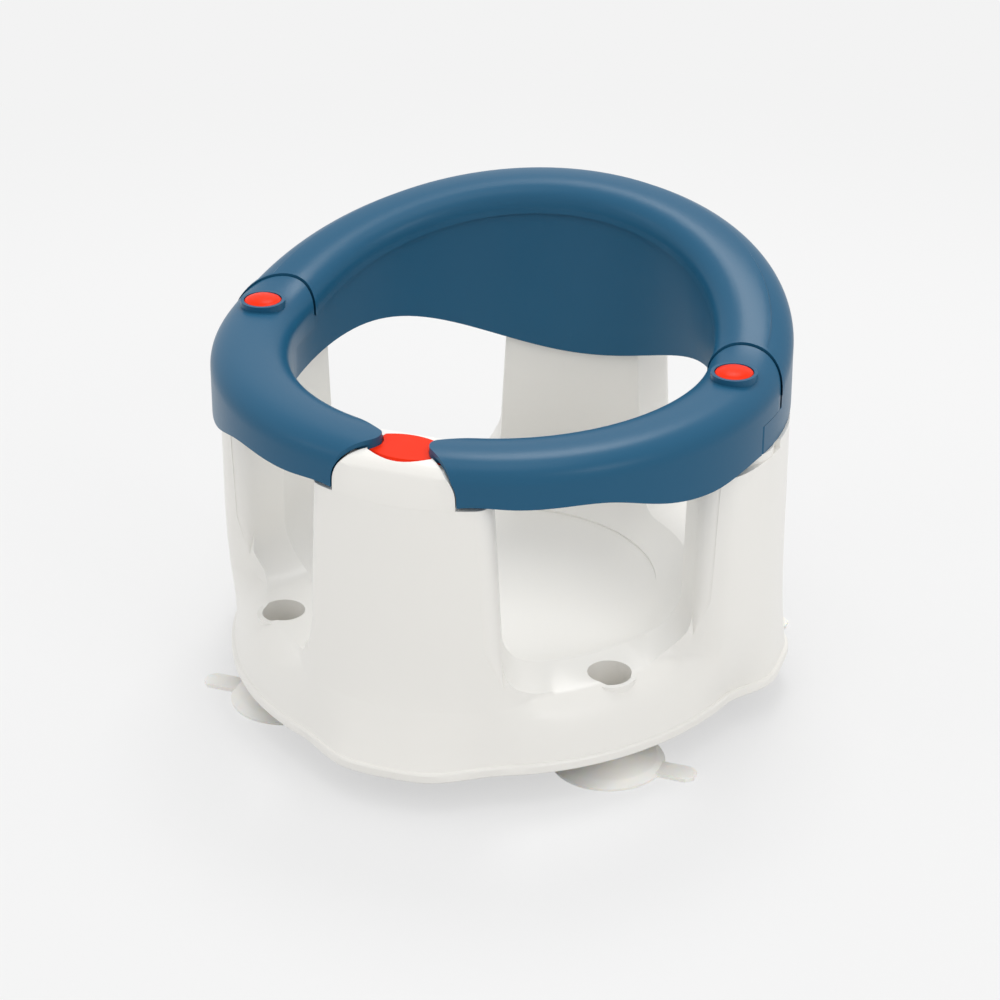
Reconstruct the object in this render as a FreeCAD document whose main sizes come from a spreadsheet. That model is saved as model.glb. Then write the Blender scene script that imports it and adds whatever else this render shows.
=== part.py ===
import FreeCAD, Part
import Sketcher
import math
import os
import re

# Baby bath seat: a white moulded base on four suction cups, with a front post, two side
# columns and a back column, and a padded-looking blue rail round the child made of a fixed
# backrest and two arms that swing outwards on vertical pivots. A red push plate on the front
# post holds the arm tips. Millimetres, front towards -Y, the middle of the seat on the Z axis,
# and the suction cups standing on Z = 0.

os.makedirs("parts", exist_ok=True)
doc = FreeCAD.newDocument("bath_seat")
size = doc.addObject("Spreadsheet::Sheet", "size")

driving_sizes = [
    ("wall", 3.0, "wall of the mouldings"),
    ("rail_outer", 170.0, "outer radius of the blue rail"),
    ("rail_inner", 124.0, "inner radius of the blue rail"),
    ("rail_dome", 15.0, "height of the rounded top of the rail above its flanks"),
    ("arm_crest", 213.0, "top of the arms at the front post"),
    ("pivot_crest", 217.5, "top of the rail beside the pivots"),
    ("back_slope", 0.3, "rise of the backrest for each millimetre backwards"),
    ("crest_blend", 10.0, "length over which the backrest starts to rise"),
    ("arm_edge_front", 186.0, "lower edge of the arms near the front post"),
    ("arm_edge_side", 173.7, "lower edge of the arms near the pivots"),
    ("back_edge_side", 177.7, "lower edge of the backrest flank beside the pivots"),
    ("back_edge_rear", 217.5, "lower edge of the backrest flank at the rear"),
    ("bead_depth", 19.0, "depth of the rounded bead above the apron"),
    ("shoulder_step", 1.3, "step from the bead on the backrest down to its outer shoulder"),
    ("shoulder_turn", 68.0, "place of that step on the dome, in degrees from its outer side"),
    ("bead_relief", 2.5, "step from the bead back to the apron"),
    ("apron_edge_rear", 150.0, "lower edge of the apron at the rear"),
    ("apron_edge_high", 180.0, "lower edge of the apron at its highest point"),
    ("apron_edge_side", 172.0, "lower edge of the apron beside the pivots"),
    ("pivot_across", 146.0, "distance of each pivot from the middle plane"),
    ("pivot_forward", 15.0, "distance of the pivots in front of the middle"),
    ("lug_radius", 28.0, "radius of the round end of each arm"),
    ("lug_inset", 2.5, "offset of the round end towards the middle"),
    ("lug_back", 4.0, "offset of the round end towards the back"),
    ("lug_gap", 1.2, "groove between the round end and its socket"),
    ("socket_lip", 0.9, "height of the raised lip round each socket"),
    ("socket_lip_width", 1.9, "width of the raised lip round each socket"),
    ("tongue_radius", 24.5, "radius of the backrest tongue below each lug"),
    ("tongue_gap", 0.8, "groove between the tongue and the arm"),
    ("split_level", 195.0, "height where lug and tongue lie on each other"),
    ("slide_gap", 0.3, "gap between faces that slide on each other"),
    ("tip_across", 14.5, "distance of the arm tips from the middle plane"),
    ("tip_forward", 147.0, "distance of the arm tips in front of the middle"),
    ("tip_radius", 8.0, "radius of the arm tips in plan"),
    ("tip_taper", 38.0, "taper of the arm tips in plan, in degrees a side"),
    ("end_round", 5.0, "rounding of the arms' ends towards the front"),
    ("end_round_low", 189.0, "lower end of that rounding"),
    ("tip_level", 206.0, "underside of the arm tips"),
    ("tip_solid", 42.0, "how far from the middle plane the arm ends are solid"),
    ("head_gap", 1.0, "gap between the arms and the head of the front post"),
    ("lug_web", 9.7, "thickness of the lug's web below the screw head"),
    ("cap_sink", 2.2, "how deep the caps sit in the lugs"),
    ("cap_radius", 11.0, "radius of the red pivot caps"),
    ("cap_height", 3.2, "height of the red pivot caps"),
    ("collar_height", 2.4, "height of the raised collar round each cap"),
    ("collar_wall", 2.0, "width of the raised collar round each cap"),
    ("screw_head_radius", 6.2, "radius of the pivot screw head"),
    ("screw_head_height", 4.0, "height of the pivot screw head"),
    ("shoulder_radius", 4.0, "radius of the pivot screw shoulder"),
    ("thread_radius", 2.5, "radius of the pivot screw thread"),
    ("thread_length", 14.0, "length of the pivot screw thread"),
    ("thread_fit", 0.05, "clearance of the screw threads in their bosses"),
    ("running_gap", 0.08, "radial clearance of the arm on its pivot screw"),
    ("boss_wall", 4.0, "wall of the bosses round the screws"),
    ("seat_floor", 52.0, "height of the seat floor"),
    ("floor_radius", 94.0, "radius of the flat seat floor"),
    ("floor_step", 1.2, "step round the seat floor"),
    ("bowl_radius", 36.0, "radius of the hollow between the floor and the columns"),
    ("column_round", 10.0, "rounding of the columns' upright edges"),
    ("side_turn", 36.0, "direction of the side columns' flanks in plan, in degrees"),
    ("column_inner", 131.5, "distance of the columns' inner faces from the middle"),
    ("sill_level", 59.5, "height of the sills between the columns"),
    ("window_corner", 30.0, "radius of the lower corners of the openings"),
    ("post_half_width", 42.5, "half width of the front post and back column at the shoulders"),
    ("side_half_width", 33.5, "half width of the side columns at the shoulders"),
    ("column_draft", 2.6, "draft of the column sides in degrees"),
    ("shoulder_level", 184.0, "height of the front post's shoulders"),
    ("side_top", 172.4, "height of the side columns below the arms"),
    ("pad_top", 177.4, "height of the side columns below the backrest"),
    ("tenon_top", 189.0, "height of the side columns' tenons"),
    ("back_shoulder", 217.0, "height of the back column's shoulder"),
    ("back_tenon_top", 244.0, "height of the back column's tenon"),
    ("tenon_gap", 0.6, "gap between the tenons and the backrest"),
    ("tenon_front", 8.0, "front end of the side columns' tenons"),
    ("pad_front", -4.0, "front end of the side columns' raised pads"),
    ("head_half_width", 36.0, "half width of the front post's head"),
    ("head_top", 208.5, "height of the front post's head"),
    ("head_shelf", 18.0, "half width of the flat top of the head"),
    ("head_reach", 169.0, "distance of the head's front face from the middle"),
    ("head_spring", 190.0, "height where the sides of the head start to curve"),
    ("head_front_round", 14.0, "radius of the head's front top edge"),
    ("front_face", 169.0, "distance of the front and back faces of the columns"),
    ("side_face", 166.5, "distance of the outer faces of the side columns"),
    ("rim_level", 20.0, "height of the rim's underside above the tub"),
    ("lip_height", 6.5, "height of the rolled lip round the rim"),
    ("lip_width", 2.2, "width of the rolled lip beyond the skirt"),
    ("rim_front", 176.5, "front radius of the rim between the feet"),
    ("rim_side", 162.0, "side radius of the rim between the feet"),
    ("foot_front", 187.8, "reach of the front and back feet"),
    ("foot_side", 175.5, "reach of the side feet"),
    ("fold_depth", 20.0, "how far the sill's outer edge lies inside the rim"),
    ("drain_across", 101.8, "distance of the drain holes from the middle plane"),
    ("drain_along", 94.7, "distance of the drain holes in front of and behind the middle"),
    ("drain_radius", 12.7, "radius of the drain holes"),
    ("web_level", 22.0, "underside of the webs that hold the suction cups"),
    ("web_thickness", 3.0, "thickness of the webs that hold the suction cups"),
    ("cup_radius", 33.3, "radius of the suction cups"),
    ("cup_height", 15.0, "height of the suction cups' bells"),
    ("cup_wall", 2.4, "wall of the suction cups"),
    ("cup_neck", 4.6, "radius of the suction cups' necks"),
    ("cup_head", 7.5, "radius of the suction cups' buttons above the web"),
    ("cup_fit", 0.1, "clearance of the suction cups in the webs"),
    ("tab_reach", 20.0, "reach of the pull tabs beyond the cups"),
    ("tab_half_width", 7.0, "half width of the pull tabs"),
    ("tab_thickness", 2.4, "thickness of the pull tabs"),
    ("plate_top", 210.6, "height of the red push plate"),
    ("plate_front", 161.8, "distance of the push plate's front edge"),
    ("plate_front_corner", 156.2, "distance of the push plate's front corners"),
    ("plate_front_half", 18.5, "half width of the push plate at its front corners"),
    ("plate_back", 135.3, "distance of the push plate's back edge"),
    ("plate_back_corner", 138.2, "distance of the push plate's back corners"),
    ("plate_back_half", 15.5, "half width of the push plate at its back corners"),
    ("notch_gap", 0.8, "gap between the arm tips and the push plate's notches"),
    ("ledge_half", 23.6, "half width of the push plate's ledge below the arm tips"),
    ("ledge_along", 8.4, "half depth of the push plate's ledge"),
    ("plate_gap", 0.4, "gap round the push plate"),
    ("plate_travel", 5.0, "travel of the push plate"),
    ("plate_depth", 9.2, "depth of the push plate with its ledge"),
    ("stem_radius", 3.0, "radius of the push plate's stem"),
    ("stem_fit", 0.15, "clearance of the stem in the retainer"),
    ("retainer_thickness", 3.0, "thickness of the latch retainer"),
    ("retainer_half_length", 31.0, "half length of the latch retainer"),
    ("retainer_half_width", 8.0, "half width of the latch retainer"),
    ("retainer_screw_across", 27.6, "distance of the retainer screws from the middle plane"),
    ("latch_boss_radius", 3.4, "radius of the bosses for the retainer screws"),
    ("small_screw_radius", 1.4, "thread radius of the retainer screws"),
    ("small_screw_head", 2.7, "head radius of the retainer screws"),
    ("small_screw_length", 8.0, "length of the retainer screws above the retainer"),
    ("clip_radius", 5.5, "radius of the clip on the stem"),
    ("clip_thickness", 1.6, "thickness of the clip on the stem"),
    ("spring_radius", 4.4, "mean radius of the latch spring"),
    ("spring_wire", 1.1, "wire of the latch spring"),
    ("spring_turns", 5.0, "turns of the latch spring"),
    ("spring_length", 17.0, "length of the latch spring at rest"),
    ("fixing_head_radius", 4.0, "head radius of the fixing screws"),
    ("fixing_head_height", 2.6, "head height of the fixing screws"),
    ("fixing_radius", 2.0, "thread radius of the fixing screws"),
    ("fixing_length", 14.0, "thread length of the fixing screws"),
    ("back_fixing_across", 22.0, "distance of the back screws from the middle plane"),
    ("side_fixing_back", 24.0, "distance of the side screws behind the middle"),
    ("fixing_circle", 147.0, "distance of the fixing screws from the middle"),
]
for row, (alias, amount, meaning) in enumerate(driving_sizes, start=1):
    size.set("A%d" % row, meaning)
    size.set("B%d" % row, str(amount))
    size.setAlias("B%d" % row, alias)
doc.recompute()


def value(alias):
    return float(getattr(size, alias))


def at(radius, degrees, level):
    """A point by its distance from the Z axis and its angle from the front, towards +X."""
    turn = math.radians(degrees)
    return FreeCAD.Vector(radius * math.sin(turn), -radius * math.cos(turn), level)


def ease(share):
    """A smooth step from 0 to 1."""
    share = min(max(share, 0.0), 1.0)
    return share * share * (3.0 - 2.0 * share)


def slab(low, high):
    """A box between two corners."""
    corner = FreeCAD.Vector(*low)
    reach = FreeCAD.Vector(*high) - corner
    return Part.makeBox(reach.x, reach.y, reach.z, corner)


def upright(radius, across, along, low, high):
    """A vertical cylinder between two levels."""
    return Part.makeCylinder(radius, high - low, FreeCAD.Vector(across, along, low))


def mirrored(shape):
    """The same shape on the other side of the middle plane."""
    return shape.mirror(FreeCAD.Vector(0, 0, 0), FreeCAD.Vector(1, 0, 0))


def keep(label, shape):
    """Puts a finished shape into the document as a sub-part of its own."""
    feature = doc.addObject("Part::Feature", label)
    feature.Label = label
    feature.Shape = shape
    feature.Placement = shape.Placement
    return feature


# Heights along the rail

far = 400.0
mid_radius = (value("rail_outer") + value("rail_inner")) / 2
half_rail = (value("rail_outer") - value("rail_inner")) / 2


def crest(degrees):
    """Top of the rail: nearly level over the arms, then rising to the back."""
    along = -mid_radius * math.cos(math.radians(degrees))
    run = max(0.0, min(1.0, (along + mid_radius) / (mid_radius - value("pivot_forward"))))
    level = value("arm_crest") + (value("pivot_crest") - value("arm_crest")) * run
    blend = value("crest_blend")
    return level + value("back_slope") * blend * math.log1p(math.exp(along / blend))


def arm_edge(degrees):
    drop = value("arm_edge_front") - value("arm_edge_side")
    return value("arm_edge_front") - drop * ease((degrees - 38.0) / 22.0)


def back_edge(degrees):
    rise = value("back_edge_rear") - value("back_edge_side")
    return value("back_edge_side") + rise * ease((degrees - 95.0) / 70.0)


def apron_edge(degrees):
    high = value("apron_edge_high")
    if degrees < 120.0:
        return high - (high - value("apron_edge_side")) * (1.0 - ease((degrees - 84.0) / 36.0))
    turn = math.pi * (degrees - 120.0) / 60.0
    return high - (high - value("apron_edge_rear")) * (1.0 - math.cos(turn)) / 2


def dome(outer, inner, spring, height, degrees, first=0.0, last=180.0):
    """Curve over the top of the rail, from the outer flank to the inner one, or part of it."""
    half = (outer - inner) / 2
    middle = (outer + inner) / 2
    points = []
    for step in range(9):
        turn = math.radians(first + (last - first) * step / 8)
        across = abs(math.cos(turn)) ** 0.86
        reach = middle + half * math.copysign(across, math.cos(turn))
        points.append(at(reach, degrees, spring + height * abs(math.sin(turn)) ** 0.86))
    curve = Part.BSplineCurve()
    curve.interpolate(Points=points, Parameters=[step / 8 for step in range(9)])
    return curve.toShape()


def section(parts, degrees):
    """Closed section in the upright plane at one angle. Each part is a corner, given as its
    distance and level, or a curve; straight lines join what follows each other."""
    def ends(part):
        if isinstance(part, tuple):
            return at(part[0], degrees, part[1]), at(part[0], degrees, part[1])
        return part.valueAt(part.FirstParameter), part.valueAt(part.LastParameter)

    edges = []
    for part, follower in zip(parts, parts[1:] + parts[:1]):
        if not isinstance(part, tuple):
            edges.append(part)
        start = ends(part)[1]
        finish = ends(follower)[0]
        if start.distanceToPoint(finish) > 1e-6:
            edges.append(Part.LineSegment(start, finish).toShape())
    return Part.Wire(edges)


def arm_section(degrees, inset, filled):
    """Section of an arm: an upside-down channel, or its filled form moved in by inset."""
    outer = value("rail_outer") - inset
    inner = value("rail_inner") + inset
    spring = crest(degrees) - value("rail_dome")
    height = value("rail_dome") - inset
    edge = arm_edge(degrees)
    wall = value("wall")
    top = dome(outer, inner, spring, height, degrees)
    if filled:
        return section([(outer, edge + inset), top, (inner, edge + inset)], degrees)
    under = dome(inner + wall, outer - wall, spring, height - wall, degrees)
    return section([(outer, edge), top, (inner, edge), (inner + wall, edge), under,
                    (outer - wall, edge)], degrees)


def bead_step(degrees):
    """Depth of the step between the bead on top of the backrest and its outer shoulder."""
    return value("shoulder_step") * (0.12 + 0.88 * ease((degrees - 92.0) / 16.0))


def back_section(degrees, inset, filled):
    """Section of the backrest: the rail channel with the apron below its inner side, and a
    rounded bead on top that stands above the outer shoulder."""
    outer = value("rail_outer") - inset
    inner = value("rail_inner") + inset
    spring = crest(degrees) - value("rail_dome")
    height = value("rail_dome") - inset
    bead = crest(degrees) - value("bead_depth")
    wall = value("wall")
    apron = value("rail_inner") + value("bead_relief")
    edge = back_edge(degrees)
    low = apron_edge(degrees)
    if filled:
        top = dome(outer, inner, spring, height, degrees)
        return section([(outer, edge + inset), top, (inner, edge + inset)], degrees)
    shoulder = dome(outer, inner, spring, height - bead_step(degrees), degrees,
                    0.0, value("shoulder_turn"))
    top = dome(outer, inner, spring, height, degrees, value("shoulder_turn") + 2.5, 180.0)
    under = dome(apron + wall, outer - wall, spring, height - wall, degrees)
    return section([(outer, edge), shoulder, top, (inner, bead), (apron, bead), (apron, low),
                    (apron + wall, low), under, (outer - wall, edge)], degrees)


def rail(make_section, start, finish, count, inset, filled):
    wires = []
    for step in range(count):
        degrees = start + (finish - start) * step / (count - 1)
        wires.append(make_section(degrees, inset, filled))
    return Part.makeLoft(wires, True, False)



def ring_form(make_section, start, finish, count, inset=0.0, filled=False):
    return rail(make_section, start, finish, count, inset, filled)


# Pivots: each arm ends in a round lug that lies in a socket of the backrest. The lug's middle
# lies off the pivot, towards the back and the middle, so it draws away from the socket as the
# arm swings outwards. Below the split level a tongue of the backrest reaches under the lug.

pivot = FreeCAD.Vector(value("pivot_across"), -value("pivot_forward"), 0)
lug_across = pivot.x - value("lug_inset")
lug_along = pivot.y + value("lug_back")
split = value("split_level")
wall = value("wall")
cap_level = value("pivot_crest") + value("back_slope") * value("crest_blend") * math.log1p(
    math.exp(-value("pivot_forward") / value("crest_blend")))
boss_radius = value("screw_head_radius") + value("boss_wall")


def behind(along, low, high):
    return slab((0, along, low), (far, far, high))


def before(along, low, high):
    return slab((0, -far, low), (far, along, high))


back_half = ring_form(back_section, 74.0, 180.0, 12)
back_core = ring_form(back_section, 74.0, 180.0, 12, wall / 2, True)
socket_radius = value("lug_radius") + value("lug_gap")
socket_wall = upright(socket_radius + wall, lug_across, lug_along, split - wall, far)
tongue = upright(value("tongue_radius"), pivot.x, pivot.y, 0, split)
tongue_skin = tongue.cut(upright(value("tongue_radius") - wall, pivot.x, pivot.y, 0, split))
tongue_plate = tongue.common(slab((0, -far, split - wall), (far, far, split))).fuse(
    upright(socket_radius + wall / 2, lug_across, lug_along, split - wall, split).common(
        behind(pivot.y, 0, far)))
socket_skin = socket_wall.cut(upright(socket_radius, lug_across, lug_along, 0, far)).common(
    behind(lug_along, 0, far))
pivot_boss_low = value("back_edge_side") + 2.0
pivot_boss = upright(value("thread_radius") + value("boss_wall"), pivot.x, pivot.y,
                     pivot_boss_low, split)
back_walls = socket_skin.fuse([tongue_plate, tongue_skin.common(before(pivot.y, 0, far))])
back_half = back_half.fuse([back_core.common(back_walls), pivot_boss])
lip_form = ring_form(back_section, 74.0, 110.0, 5, -value("socket_lip"), True)
socket_lip = upright(socket_radius + value("socket_lip_width"), lug_across, lug_along,
                     cap_level - value("rail_dome"), far).common(lip_form)
back_half = back_half.fuse(socket_lip)
clear_above = upright(socket_radius, lug_across, lug_along, split, far).fuse(
    before(lug_along, split, far))
clear_below = before(pivot.y, 0, split).cut(tongue)
back_half = back_half.cut([clear_above, clear_below])
back_half = back_half.cut(upright(value("thread_radius") + value("thread_fit"), pivot.x, pivot.y,
                                  0, far))
print("backrest half", back_half.isValid(), len(back_half.Solids), back_half.Volume / 1000)

arm_shell = ring_form(arm_section, 3.0, 99.0, 11)
arm_core = ring_form(arm_section, 3.0, 99.0, 11, wall / 2, True)
lug = upright(value("lug_radius"), lug_across, lug_along, 0, far)
lug_skin = lug.cut(upright(value("lug_radius") - wall, lug_across, lug_along, 0, far)).common(
    behind(lug_along, 0, far))
lug_floor = lug.common(slab((0, -far, split + value("slide_gap")),
                            (far, far, split + value("slide_gap") + wall)))
hollow_radius = value("tongue_radius") + value("tongue_gap")
hollow = upright(hollow_radius, pivot.x, pivot.y, 0, split + value("slide_gap"))
hollow_skin = upright(hollow_radius + wall, pivot.x, pivot.y, 0,
                      split + value("slide_gap") + wall).cut(hollow)
arm_boss = upright(boss_radius, pivot.x, pivot.y, split + value("slide_gap"), far)
hollow_roof = upright(hollow_radius + wall, pivot.x, pivot.y, split + value("slide_gap"),
                      split + value("slide_gap") + wall)
arm_walls = lug_skin.fuse([lug_floor, arm_boss, hollow_roof,
                           hollow_skin.common(before(pivot.y, 0, far))])
arm = arm_shell.fuse(arm_core.common(arm_walls))
arm_keep = lug.fuse(before(lug_along, 0, far))
arm_lower_clear = slab((0, pivot.y, 0), (far, far, split + value("slide_gap"))).fuse(hollow)
arm = arm.common(arm_keep).cut(arm_lower_clear)
print("arm", arm.isValid(), len(arm.Solids), arm.Volume / 1000)


# Base: one moulding. Its outer form is a stack of closed plans, oval between the feet and
# wider at the four feet, that draws in to the columns above. The openings between the columns
# are cut down to the sills, and the bowl of the seat is turned about the Z axis.

def folded(degrees):
    """The angle from the front, 0 to 180, on either side."""
    degrees = degrees % 360.0
    return min(degrees, 360.0 - degrees)


def oval(degrees):
    turn = math.radians(degrees)
    return 1.0 / math.hypot(math.cos(turn) / (value("rim_front") - value("lip_width")),
                            math.sin(turn) / (value("rim_side") - value("lip_width")))


def feet(degrees):
    """Reach of the feet beyond the oval."""
    turn = folded(degrees)
    along = min(turn, 180.0 - turn)
    front = value("foot_front") - value("rim_front")
    side = value("foot_side") - value("rim_side")
    return (front * (1.0 - ease((along - 6.0) / 15.0))
            + side * (1.0 - ease((abs(turn - 94.0) - 6.0) / 13.0)))


def column_share(degrees):
    """1 at the columns, 0 in the middle of the openings."""
    turn = folded(degrees)
    along = min(turn, 180.0 - turn)
    return 2.0 - ease((along - 19.0) / 14.0) - ease((abs(turn - 90.0) - 16.0) / 14.0)


def column_plan(degrees):
    mean = (value("front_face") + value("side_face")) / 2 - 2.0
    return mean + 6.0 * math.cos(math.radians(4.0 * degrees))


def between(pairs, level):
    """A height-dependent amount read off a few pairs."""
    for (low, first), (high, second) in zip(pairs, pairs[1:]):
        if level <= high:
            return first + (second - first) * (level - low) / (high - low)
    return pairs[-1][1]


rim_level = value("rim_level")
lip_level = rim_level + value("lip_height")
sill = value("sill_level")
rise = sill - lip_level
fold = value("fold_depth")
flare_pairs = [(0, 1.0), (lip_level, 1.0), (lip_level + 0.29 * rise, 0.72),
               (lip_level + 0.65 * rise, 0.42), (sill, 0.2), (sill + 15.0, 0.07),
               (sill + 35.0, 0.0)]
fold_pairs = [(0, 0.0), (lip_level, 0.0), (lip_level + 0.29 * rise, 0.1 * fold),
              (lip_level + 0.53 * rise, 0.23 * fold), (lip_level + 0.71 * rise, 0.4 * fold),
              (lip_level + 0.86 * rise, 0.62 * fold), (lip_level + 0.95 * rise, 0.82 * fold),
              (sill, fold), (sill + 6.0, 1.2 * fold)]
lip_pairs = [(rim_level, 0.6), (rim_level + 1.0, 1.0), (lip_level - 1.5, 1.0),
             (lip_level - 0.5, 0.7), (lip_level, 0.15), (lip_level + 0.15 * rise, 0.0)]
base_levels = [rim_level, rim_level + 1.0, lip_level - 1.5, lip_level - 0.5,
               lip_level, lip_level + 0.15 * rise, lip_level + 0.29 * rise,
               lip_level + 0.42 * rise, lip_level + 0.53 * rise, lip_level + 0.63 * rise,
               lip_level + 0.71 * rise, lip_level + 0.79 * rise, lip_level + 0.86 * rise,
               lip_level + 0.91 * rise, lip_level + 0.955 * rise, sill, sill + 6.0,
               sill + 15.0, sill + 24.0, sill + 35.0, sill + 80.0, sill + 200.0]
draft = math.tan(math.radians(value("column_draft")))
inner_at = value("column_inner")


def side_lines(level, grow):
    """Both side lines of the right front opening at one level: a point and a direction each."""
    widen = draft * (value("shoulder_level") - level)
    post = value("post_half_width") + widen
    flank = value("side_half_width") + widen
    front_turn = math.asin(post / inner_at)
    side_turn = math.asin(flank / inner_at)
    front_dir = at(1.0, math.degrees(front_turn), 0)
    side_dir = at(1.0, value("side_turn"), 0)
    front_foot = at(inner_at, math.degrees(front_turn), level)
    side_foot = at(inner_at, 90.0 - math.degrees(side_turn), level)
    front_foot = front_foot + FreeCAD.Vector(front_dir.y, -front_dir.x, 0) * grow
    side_foot = side_foot + FreeCAD.Vector(-side_dir.y, side_dir.x, 0) * grow
    return front_foot, front_dir, side_foot, side_dir


def base_radius(degrees, level, inset):
    rim = oval(degrees) + feet(degrees)
    column = column_plan(degrees)
    share = column_share(degrees)
    tub = rim - between(fold_pairs, level)
    flared = column + (rim - column) * between(flare_pairs, level)
    radius = (1.0 - share) * tub + share * flared
    if not inset:
        radius += value("lip_width") * between(lip_pairs, level)
    return radius - inset


def base_plan(level, inset):
    points = [at(base_radius(degrees, level, inset), degrees, level)
              for degrees in range(0, 360, 4)]
    curve = Part.BSplineCurve()
    curve.interpolate(Points=points, PeriodicFlag=True)
    return Part.Wire([curve.toShape()])


def base_form(inset):
    levels = [rim_level - 5.0 if inset else rim_level] + base_levels[1:]
    return Part.makeLoft([base_plan(level, inset) for level in levels], True, True)


def round_section(column, level, radius, inset):
    """Section of what rounds one upright edge of a column, at one level: an arc that touches
    the column's side and its outer face, and the corner beyond it."""
    front_foot, front_dir, side_foot, side_dir = side_lines(level, inset)
    if column == "front":
        foot, out = front_foot, front_dir
        inward = FreeCAD.Vector(out.y, -out.x, 0)
        low, high = -20.0, 40.0
    else:
        foot, out = side_foot, side_dir
        inward = FreeCAD.Vector(-out.y, out.x, 0)
        low, high = 110.0, 50.0
    for step in range(40):
        turn = (low + high) / 2
        touch = at(base_radius(turn, level, inset), turn, level)
        along = (at(base_radius(turn + 0.1, level, inset), turn + 0.1, level)
                 - at(base_radius(turn - 0.1, level, inset), turn - 0.1, level))
        along.normalize()
        face_out = FreeCAD.Vector(along.y, -along.x, 0)
        centre = touch - face_out * radius
        if (centre - foot).dot(inward) > radius:
            low = turn
        else:
            high = turn
    near = centre - inward * radius
    middle = face_out - inward
    middle.normalize()
    arc = Part.Arc(near, centre + middle * radius, touch).toShape()
    beyond = [touch, touch + face_out * 15.0, near - inward * 15.0 + out * 45.0,
              near - inward * 15.0, near]
    return Part.Wire([arc] + [Part.LineSegment(first, second).toShape()
                              for first, second in zip(beyond, beyond[1:])])


def edge_rounding(column, inset):
    """What is cut from one upright edge of a column. It fades out above the sill."""
    levels = ((sill + 13.0, 0.08), (sill + 35.0, 1.0), (sill + 200.0, 1.0))
    radius = value("column_round") - inset
    return Part.makeLoft([round_section(column, level, radius * share, inset)
                          for level, share in levels], True, True)


def opening(grow):
    """The right front opening between the columns, with rounded lower corners."""
    floor = sill - grow
    wires = []
    for level in (floor, floor + 280.0):
        front_foot, front_dir, side_foot, side_dir = side_lines(level, grow)
        corners = [front_foot - front_dir * 28.0, front_foot + front_dir * 110.0,
                   side_foot + side_dir * 110.0, side_foot - side_dir * 22.0]
        wires.append(Part.makePolygon(corners + corners[:1]))
    solid = Part.makeLoft(wires, True, True)
    lower = []
    for edge in solid.Edges:
        ends = [vertex.Point for vertex in edge.Vertexes]
        reaches = sorted(math.hypot(end.x, end.y) for end in ends)
        flat = max(abs(end.z - floor) for end in ends) < 0.01
        if flat and reaches[0] < 130.0 and reaches[1] > 200.0:
            lower.append(edge)
    return solid.makeFillet(value("window_corner") + grow, lower)


def four_ways(shape):
    right = [shape, shape.mirror(FreeCAD.Vector(0, 0, 0), FreeCAD.Vector(0, 1, 0))]
    return right + [mirrored(piece) for piece in right]


def bowl(grow):
    """The hollow of the seat: flat floor, rounded foot and upright wall, turned about Z."""
    arc_radius = value("bowl_radius")
    middle = inner_at - arc_radius
    centre = value("seat_floor") + value("floor_step") + arc_radius
    reach = arc_radius + grow
    low = FreeCAD.Vector(middle, 0, centre - reach)
    mid = FreeCAD.Vector(middle + reach * math.sin(math.pi / 4), 0,
                         centre - reach * math.cos(math.pi / 4))
    high = FreeCAD.Vector(middle + reach, 0, centre)
    top = FreeCAD.Vector(middle + reach, 0, far)
    edges = [Part.LineSegment(FreeCAD.Vector(0, 0, low.z), low).toShape(),
             Part.Arc(low, mid, high).toShape(),
             Part.LineSegment(high, top).toShape(),
             Part.LineSegment(top, FreeCAD.Vector(0, 0, far)).toShape(),
             Part.LineSegment(FreeCAD.Vector(0, 0, far), FreeCAD.Vector(0, 0, low.z)).toShape()]
    face = Part.Face(Part.Wire(edges))
    hollow_form = face.revolve(FreeCAD.Vector(0, 0, 0), FreeCAD.Vector(0, 0, 1), 360)
    step = upright(value("floor_radius") + grow, 0, 0, value("seat_floor") - grow, centre)
    return hollow_form.fuse(step)


def head_wire(grow, low, near):
    """The front view of the post's head, grown all round, at one distance."""
    half = value("head_half_width") + grow
    spring = value("head_spring")
    top = value("head_top") + grow
    shelf = value("head_shelf")
    points = []
    for step in range(9):
        turn = math.pi / 2 * step / 8
        points.append(FreeCAD.Vector(shelf + (half - shelf) * math.cos(turn), -near,
                                     spring + (top - spring) * math.sin(turn)))
    right = Part.BSplineCurve()
    right.interpolate(points)
    left = Part.BSplineCurve()
    left.interpolate([FreeCAD.Vector(-p.x, p.y, p.z) for p in reversed(points)])
    first, last = points[0], points[-1]
    corner = FreeCAD.Vector(half, -near, low)
    edges = [Part.LineSegment(corner, first).toShape(), right.toShape(),
             Part.LineSegment(last, FreeCAD.Vector(-last.x, last.y, last.z)).toShape(),
             left.toShape(),
             Part.LineSegment(FreeCAD.Vector(-half, -near, spring),
                              FreeCAD.Vector(-half, -near, low)).toShape(),
             Part.LineSegment(FreeCAD.Vector(-half, -near, low), corner).toShape()]
    return Part.Wire(edges)


def head_profile(grow, low, near, reach):
    """That front view carried through between two distances."""
    return Part.Face(head_wire(grow, low, near)).extrude(FreeCAD.Vector(0, near - reach, 0))


def head_form(inset, low):
    """The head of the front post, with its front rolling over the top."""
    body = head_profile(-inset, low, inner_at + inset, value("head_reach") + 5.0)
    front = value("head_reach") - inset
    roll = value("head_front_round") - inset
    top = value("head_top") - inset
    body = body.common(upright(front, 0, 0, 0, far))
    over = slab((-far, -far, top - roll), (far, -(front - roll), far)).cut(
        Part.makeCylinder(roll, 2 * far, FreeCAD.Vector(-far, -(front - roll), top - roll),
                          FreeCAD.Vector(1, 0, 0)))
    return body.cut(over)


def near_column(side):
    """A block round one column."""
    reach = 62.0
    blocks = {"front": ((-reach, -far, 0), (reach, -95, far)),
              "back": ((-reach, 95, 0), (reach, far, far)),
              "right": ((95, -reach - 15, 0), (far, reach + 15, far)),
              "left": ((-far, -reach - 15, 0), (-95, reach + 15, far))}
    return slab(*blocks[side])


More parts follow.
